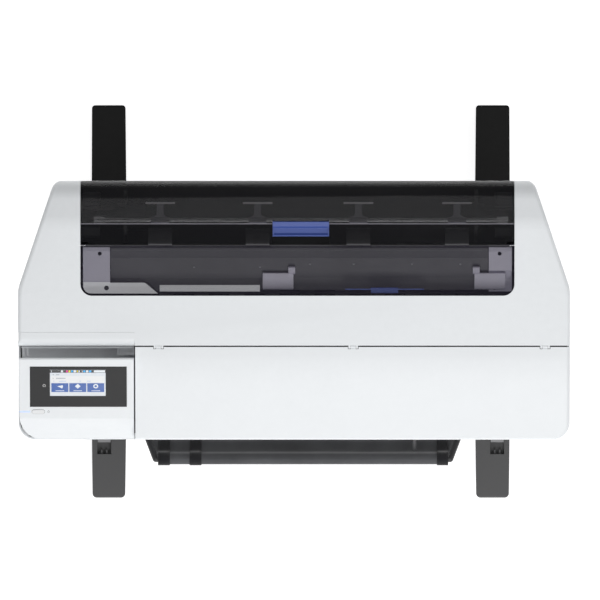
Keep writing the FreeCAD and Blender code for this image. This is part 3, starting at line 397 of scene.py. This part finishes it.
class Slope:
    """Places points on a flat plate of the sloping panel, from 0 to 1 across it and along it."""

    def __init__(self, node, rise):
        low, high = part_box(node)
        self.origin = Vector((low.x, low.y, low.z + rise))
        self.width = high.x - low.x
        self.length = (high.z - self.origin.z) / PANEL_ALONG.z

    def at(self, across, along, lift=0.0):
        return (self.origin + RIGHT * self.width * across + PANEL_ALONG * self.length * along
                + PANEL_UP * lift)

    def tile(self, mesh, low, high, lift, finish):
        corners = [self.at(low[0], low[1], lift), self.at(high[0], low[1], lift),
                   self.at(high[0], high[1], lift), self.at(low[0], high[1], lift)]
        add_prism(mesh, corners, PANEL_UP, TILE_DEPTH, finish)


def screen_picture():
    """Lit home page of the touch display: status bar, short lines, and a wedge, a diamond and
    a ring on three buttons."""
    screen = Slope("lcd_screen", 1.8 * MM * PANEL_UP.z)
    finishes = [glowing(f"display shade {i}", shade, 0.35) for i, shade in enumerate(SHADES)]
    mesh = bmesh.new()
    low, mid, high = 0.06 * MM, 0.12 * MM, 0.18 * MM
    screen.tile(mesh, (0.0, 0.0), (1.0, 0.875), low, PAGE)
    screen.tile(mesh, (0.02, 0.52), (0.98, 0.76), mid, BAND)
    screen.tile(mesh, (0.0, 0.89), (1.0, 0.995), low, BAR)
    status = ((0.02, 0.035, DARK_INK), (0.20, 0.235, ICON), (0.29, 0.325, MAGENTA),
              (0.335, 0.37, YELLOW), (0.38, 0.415, CYAN), (0.425, 0.475, ICON),
              (0.485, 0.50, YELLOW), (0.515, 0.535, ICON), (0.575, 0.59, DARK_INK),
              (0.60, 0.64, CYAN), (0.65, 0.69, ICON), (0.70, 0.745, CYAN), (0.79, 0.99, ICON))
    for start, end, finish in status:
        screen.tile(mesh, (start, 0.905), (end, 0.985), mid, finish)
    lines = ((0.80, DARK_INK, ((0.05, 0.07), (0.11, 0.17))),
             (0.66, DARK_INK, ((0.05, 0.065), (0.11, 0.28))),
             (0.55, PALE_INK, ((0.06, 0.08), (0.16, 0.29), (0.53, 0.56), (0.66, 0.73))))
    for along, finish, spans in lines:
        for start, end in spans:
            screen.tile(mesh, (start, along), (end, along + 0.035), high, finish)
    for k in range(3):
        left = 0.025 + k * 0.3225
        screen.tile(mesh, (left, 0.15), (left + 0.305, 0.49), mid, BUTTON)
        screen.tile(mesh, (left + 0.075, 0.185), (left + 0.23, 0.215), high, PALE_INK)
        centre = screen.at(left + 0.1525, 0.375, high)
        if k == 0:
            rim = circle(centre - RIGHT * 2.5 * MM, RIGHT, PANEL_ALONG, 8 * MM, 6, -35, 50)
            add_prism(mesh, [centre - RIGHT * 4.5 * MM] + rim, PANEL_UP, TILE_DEPTH, ICON)
        elif k == 1:
            square = circle(centre, RIGHT, PANEL_ALONG, 5.0 * MM, 4)
            add_prism(mesh, square, PANEL_UP, TILE_DEPTH, ICON)
        else:
            add_ring(mesh, circle(centre, RIGHT, PANEL_ALONG, 4.4 * MM),
                     circle(centre, RIGHT, PANEL_ALONG, 2.3 * MM), PANEL_UP, TILE_DEPTH, ICON)
    new_piece("screen_picture", mesh, "control_panel", finishes)


def home_mark():
    """House mark printed on the glass beside the screen."""
    glass = Slope("panel_glass", 2.0 * MM * PANEL_UP.z)
    centre = glass.at(0.147, 0.53, 0.08 * MM)
    roof = ((-3.4, 0), (0, 3.4), (3.4, 0), (2.4, 0), (2.4, -2.6), (-2.4, -2.6), (-2.4, 0))
    gap = ((-1.7, 0.2), (0, 1.9), (1.7, 0.2), (1.5, 0), (1.5, -1.8), (-1.5, -1.8), (-1.5, 0))
    loops = [[centre + (RIGHT * x + PANEL_ALONG * y) * MM for x, y in loop] for loop in (roof, gap)]
    mesh = bmesh.new()
    add_ring(mesh, *loops, PANEL_UP, PRINT_DEPTH)
    new_piece("home_mark", mesh, "control_panel",
              [plastic("pale ink", (0.5, 0.5, 0.5), 0.4)])


def pill_loop(centre, half_length, radius):
    """Outline on the panel of two half circles joined by straight sides."""
    right = circle(centre + RIGHT * half_length, RIGHT, PANEL_ALONG, radius, 10, -90, 180)
    return right + circle(centre - RIGHT * half_length, RIGHT, PANEL_ALONG, radius, 10, 90, 180)


def button_marks():
    """Grey ring printed round the power button, and its symbol on the housing beside it."""
    low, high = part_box("power_button")
    crown = Vector(((low.x + high.x) / 2, low.y + KEY_RADIUS * PANEL_ALONG.y,
                    high.z - KEY_RADIUS * PANEL_ALONG.z))
    face = crown - PANEL_UP * KEY_PROUD
    half = (high.x - low.x) / 2
    mesh = bmesh.new()
    outer = pill_loop(face, half - KEY_RADIUS, 4.75 * MM)
    inner = pill_loop(face, half - KEY_RADIUS, 4.2 * MM)
    add_ring(mesh, outer, inner, PANEL_UP, PRINT_DEPTH)
    sign = face + RIGHT * (half + 7 * MM)
    add_ring(mesh, circle(sign, RIGHT, PANEL_ALONG, 2.1 * MM, 20),
             circle(sign, RIGHT, PANEL_ALONG, 1.5 * MM, 20), PANEL_UP, PRINT_DEPTH)
    bar = [sign + (RIGHT * x + PANEL_ALONG * y) * MM for x, y in
           ((-0.3, 0.6), (0.3, 0.6), (0.3, 3.0), (-0.3, 3.0))]
    add_prism(mesh, bar, PANEL_UP, PRINT_DEPTH)
    new_piece("button_marks", mesh, "control_panel",
              [plastic("grey ink", (0.34, 0.35, 0.36), 0.4)])


# ---- output basket -----------------------------------------------------------------------------
def rounded_path(corners, step):
    """Points about a step apart along a path of (y, z, radius) corners joined by arcs."""
    spots = [Vector((0, y, z)) for y, z, _ in corners]
    path = [spots[0]]
    for i in range(1, len(corners) - 1):
        back = (spots[i - 1] - spots[i]).normalized()
        ahead = (spots[i + 1] - spots[i]).normalized()
        half = back.angle(ahead) / 2
        reach = corners[i][2] / math.tan(half)
        centre = spots[i] + (back + ahead).normalized() * corners[i][2] / math.sin(half)
        start = spots[i] + back * reach - centre
        sweep = math.pi - 2 * half
        axis = start.cross(spots[i] + ahead * reach - centre).normalized()
        count = max(2, round(corners[i][2] * sweep / step))
        for k in range(count + 1):
            turned = start.copy()
            turned.rotate(Quaternion(axis, sweep * k / count))
            path.append(centre + turned)
    path.append(spots[-1])
    filled = [path[0]]
    for a, b in zip(path, path[1:]):
        pieces = max(1, round((b - a).length / step))
        filled += [a.lerp(b, k / pieces) for k in range(1, pieces + 1)]
    return [p for p, q in zip(filled, [None] + filled[:-1]) if q is None or (p - q).length > 1e-6]


def path_normals(path):
    """Unit normals of a side-view path, on its upper side where it runs from front to rear."""
    normals = []
    for i in range(len(path)):
        along = (path[min(i + 1, len(path) - 1)] - path[max(i - 1, 0)]).normalized()
        normals.append(Vector((0, -along.z, along.y)))
    return normals


low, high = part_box("basket_cloth")
LEFT_END, RIGHT_END = low.x, high.x
ROD_Y, ROD_Z = low.y + 10.5 * MM, high.z - 10.5 * MM
REAR_Y, REAR_Z = high.y - 10 * MM, 0.262
SLEEVE = 9 * MM                         # from the front rod's middle to the cloth round it
WRAP = 8.5 * MM                         # the same at the rear rod
LOW_Y, LOW_Z = -0.112, 0.217            # lowest corner of the sling's path
SLING = rounded_path([
    (ROD_Y - SLEEVE, ROD_Z - 20 * MM, 0), (ROD_Y - SLEEVE, ROD_Z + SLEEVE, 0.008),
    (ROD_Y + SLEEVE, ROD_Z + SLEEVE, 0.008), (ROD_Y + 12 * MM, ROD_Z - 36 * MM, 0.012),
    (ROD_Y + 34 * MM, ROD_Z - 58 * MM, 0.02), (ROD_Y + 60 * MM, REAR_Z, 0.05),
    (LOW_Y, LOW_Z, 0.06), (REAR_Y + WRAP, REAR_Z - 24 * MM, 0.02),
    (REAR_Y + WRAP, REAR_Z + WRAP, 0.0075), (REAR_Y - WRAP, REAR_Z + WRAP, 0.0075),
    (REAR_Y - WRAP, REAR_Z - 14 * MM, 0)], 6 * MM)
SLING_UP = path_normals(SLING)
HELD, SLACK_RANGE = 0.02, 0.10          # no ripple this near a rod, full ripple this much further
RIPPLE = 3.2 * MM
SPLAY, SPLAY_MOST = 0.375, 0.045        # how the side edges open out, and by how much at most
STRAP_END_Y = -0.17
STRAP_SIDES = ((LEFT_END + 1 * MM, LEFT_END + 22 * MM), (-0.185, -0.164),
               (RIGHT_END - 20 * MM, RIGHT_END))


def sling_point(x, row, lift=0.0):
    """Point of the hanging cloth, with the slack ripples that die out at the two rods."""
    y, z = SLING[row].y, SLING[row].z
    free = min(math.dist((y, z), (ROD_Y, ROD_Z)), math.dist((y, z), (REAR_Y, REAR_Z))) - HELD
    slack = min(1.0, max(0.0, free / SLACK_RANGE))
    wave = (0.55 * math.sin(23.0 * x + 1.3) + 0.3 * math.sin(51.0 * x + 9.0 * z + 0.4)
            + 0.15 * math.sin(97.0 * x - 14.0 * z))
    return Vector((x, y, z)) + SLING_UP[row] * (RIPPLE * slack * wave + lift)


def cloth_edges(row):
    """Left and right edges, which open out towards the rear with the arms of the frame."""
    splay = min(max(SLING[row].y - ROD_Y, 0.0) * SPLAY, SPLAY_MOST)
    return LEFT_END + 1.5 * MM - splay, RIGHT_END - 1 * MM + splay


def add_cloth(mesh, rows, sides, columns, lift=0.0):
    """Grid that follows the hanging cloth between the two sides that sides(row) gives."""
    grid = []
    for row in rows:
        left, right = sides(row)
        xs = [left + (right - left) * k / columns for k in range(columns + 1)]
        grid.append([mesh.verts.new(sling_point(x, row, lift)) for x in xs])
    for lower, upper in zip(grid, grid[1:]):
        for k in range(columns):
            mesh.faces.new((lower[k], lower[k + 1], upper[k + 1], upper[k]))


def cloth_piece(name, mesh, finish, thickness):
    piece = new_piece(name, mesh, "printer", [finish], True)
    skin = piece.modifiers.new("thickness", "SOLIDIFY")
    skin.thickness = thickness
    skin.offset = 0.0
    return piece


def basket_sling():
    """The whole cloth, from the front sleeve to the hem behind the rear rod."""
    mesh = bmesh.new()
    add_cloth(mesh, range(len(SLING)), cloth_edges, 96)
    return cloth_piece("basket_sling", mesh, materials["cloth"], 1.4 * MM)


def webbing_straps():
    """Three webbing straps sewn over the front sleeve and down the inside of the cloth."""
    webbing = woven("webbing", (0.020, 0.020, 0.023), 0.0018)
    mesh = bmesh.new()
    last = next(i for i, p in enumerate(SLING) if p.y > STRAP_END_Y)
    for pair in STRAP_SIDES:
        add_cloth(mesh, range(1, last), lambda row, pair=pair: pair, 4, 1.9 * MM)
    return cloth_piece("basket_straps", mesh, webbing, 1.2 * MM)


# ---- small marks on the deck and the trims -----------------------------------------------------
TRIM_SCREWS = ((-0.3294, 0.0237), (0.3521, 0.0244))
DECK_STUDS = ((-0.1757, 0.0606), (-0.0597, 0.0606), (0.028, 0.066), (0.105, 0.066),
              (0.207, 0.066), (0.292, 0.066))
RIM_SPOT = (-0.33, 0.03)                # where the height of the trim under the rim is taken
RIM_LINE = ((-373, 34.6), (-262, 34.6), (-256, 32.4), (-238, 15.0), (-233, 13.2))     # mm


def small_discs(name, node, spots, radius, height, finish):
    """Round heads or marks that sit on the upper side of a CAD node, at (x, y) places."""
    sunk = 0.3 * MM
    mesh = bmesh.new()
    for x, y in spots:
        place = surface_point(node, x, y)
        if place is not None:
            ring = circle(place + UPWARD * height, RIGHT, REARWARD, radius, 20)
            add_prism(mesh, ring, UPWARD, height + sunk)
    new_piece(name, mesh, "printer", [finish])


def sill_edge():
    """Dark rim that steps down round the pale sill in the front left corner of the window."""
    level = surface_point("feeder_trims", *RIM_SPOT).z + 1.0 * MM
    line = [Vector((x * MM, y * MM, level)) for x, y in RIM_LINE]
    mesh = bmesh.new()
    for a, b in zip(line, line[1:]):
        across = (b - a).cross(UPWARD).normalized() * 1.0 * MM
        end = (b - a).normalized() * 0.6 * MM
        corners = [a + across, b + end + across, b + end - across, a - across]
        add_prism(mesh, corners, UPWARD, 1.2 * MM)
    new_piece("sill_edge", mesh, "printer",
              [plastic("rim black", (0.015, 0.014, 0.018), 0.4)])


sill_edge()
small_discs("trim_screws", "feeder_trims", TRIM_SCREWS, 4.2 * MM, 0.6 * MM,
            plastic("screw black", (0.03, 0.03, 0.034), 0.4))
small_discs("deck_marks", "feeder_deck", DECK_STUDS, 2.2 * MM, 0.4 * MM,
            plastic("deck stud", (0.24, 0.24, 0.25), 0.4))
screen_picture()
home_mark()
button_marks()
sling = basket_sling()
straps = webbing_straps()
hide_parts("basket_cloth")

# ---- floor, light and camera -------------------------------------------------------------------
FLOOR_HALF = 9.0
LIGHT_AIM = (0.0, 0.0, 0.8)
CAMERA_SPOT = (0.0105, 0.0026, 44.775)  # straight above, and far up for a long lens
scene = bpy.context.scene
ground = bmesh.new()
corners = [Vector((x * FLOOR_HALF, y * FLOOR_HALF, 0)) for x, y in
           ((-1, -1), (1, -1), (1, 1), (-1, 1))]
add_prism(ground, corners, UPWARD, 20 * MM)
ground_data = bpy.data.meshes.new("floor")
ground.to_mesh(ground_data)
ground.free()
floor = bpy.data.objects.new("floor", ground_data)
scene.collection.objects.link(floor)
n = Nodes("studio floor", (0.93, 0.93, 0.93), 0.9)
n.set(emission_color=(1.0, 1.0, 1.0, 1.0), emission_strength=0.75)
n.rough(n.spread(n.noise(6.0), 0.85, 0.95))
ground_data.materials.append(n.material)

world = bpy.data.worlds.new("studio")
world.use_nodes = True
background = world.node_tree.nodes["Background"]
background.inputs["Color"].default_value = (1.0, 1.0, 1.0, 1.0)
background.inputs["Strength"].default_value = 0.30
scene.world = world


def soft_light(name, spot, size, power):
    """Square area light aimed at the machine's upper part; power in watts."""
    lamp = bpy.data.lights.new(name, "AREA")
    lamp.shape = "SQUARE"
    lamp.size = size
    lamp.energy = power
    item = bpy.data.objects.new(name, lamp)
    item.location = spot
    towards = Vector(LIGHT_AIM) - Vector(spot)
    item.rotation_euler = towards.to_track_quat("-Z", "Y").to_euler()
    scene.collection.objects.link(item)


soft_light("key", (0.5, -2.9, 3.3), 2.2, 74.0)
soft_light("top", (0.3, 0.3, 4.4), 2.8, 30.0)

lens = bpy.data.cameras.new("camera")
lens.lens = 1500.0
lens.sensor_width = 36.0
lens.clip_start = 1.0
lens.clip_end = 200.0
camera = bpy.data.objects.new("camera", lens)
camera.location = CAMERA_SPOT
scene.collection.objects.link(camera)
scene.camera = camera
scene.view_settings.view_transform = "Standard"
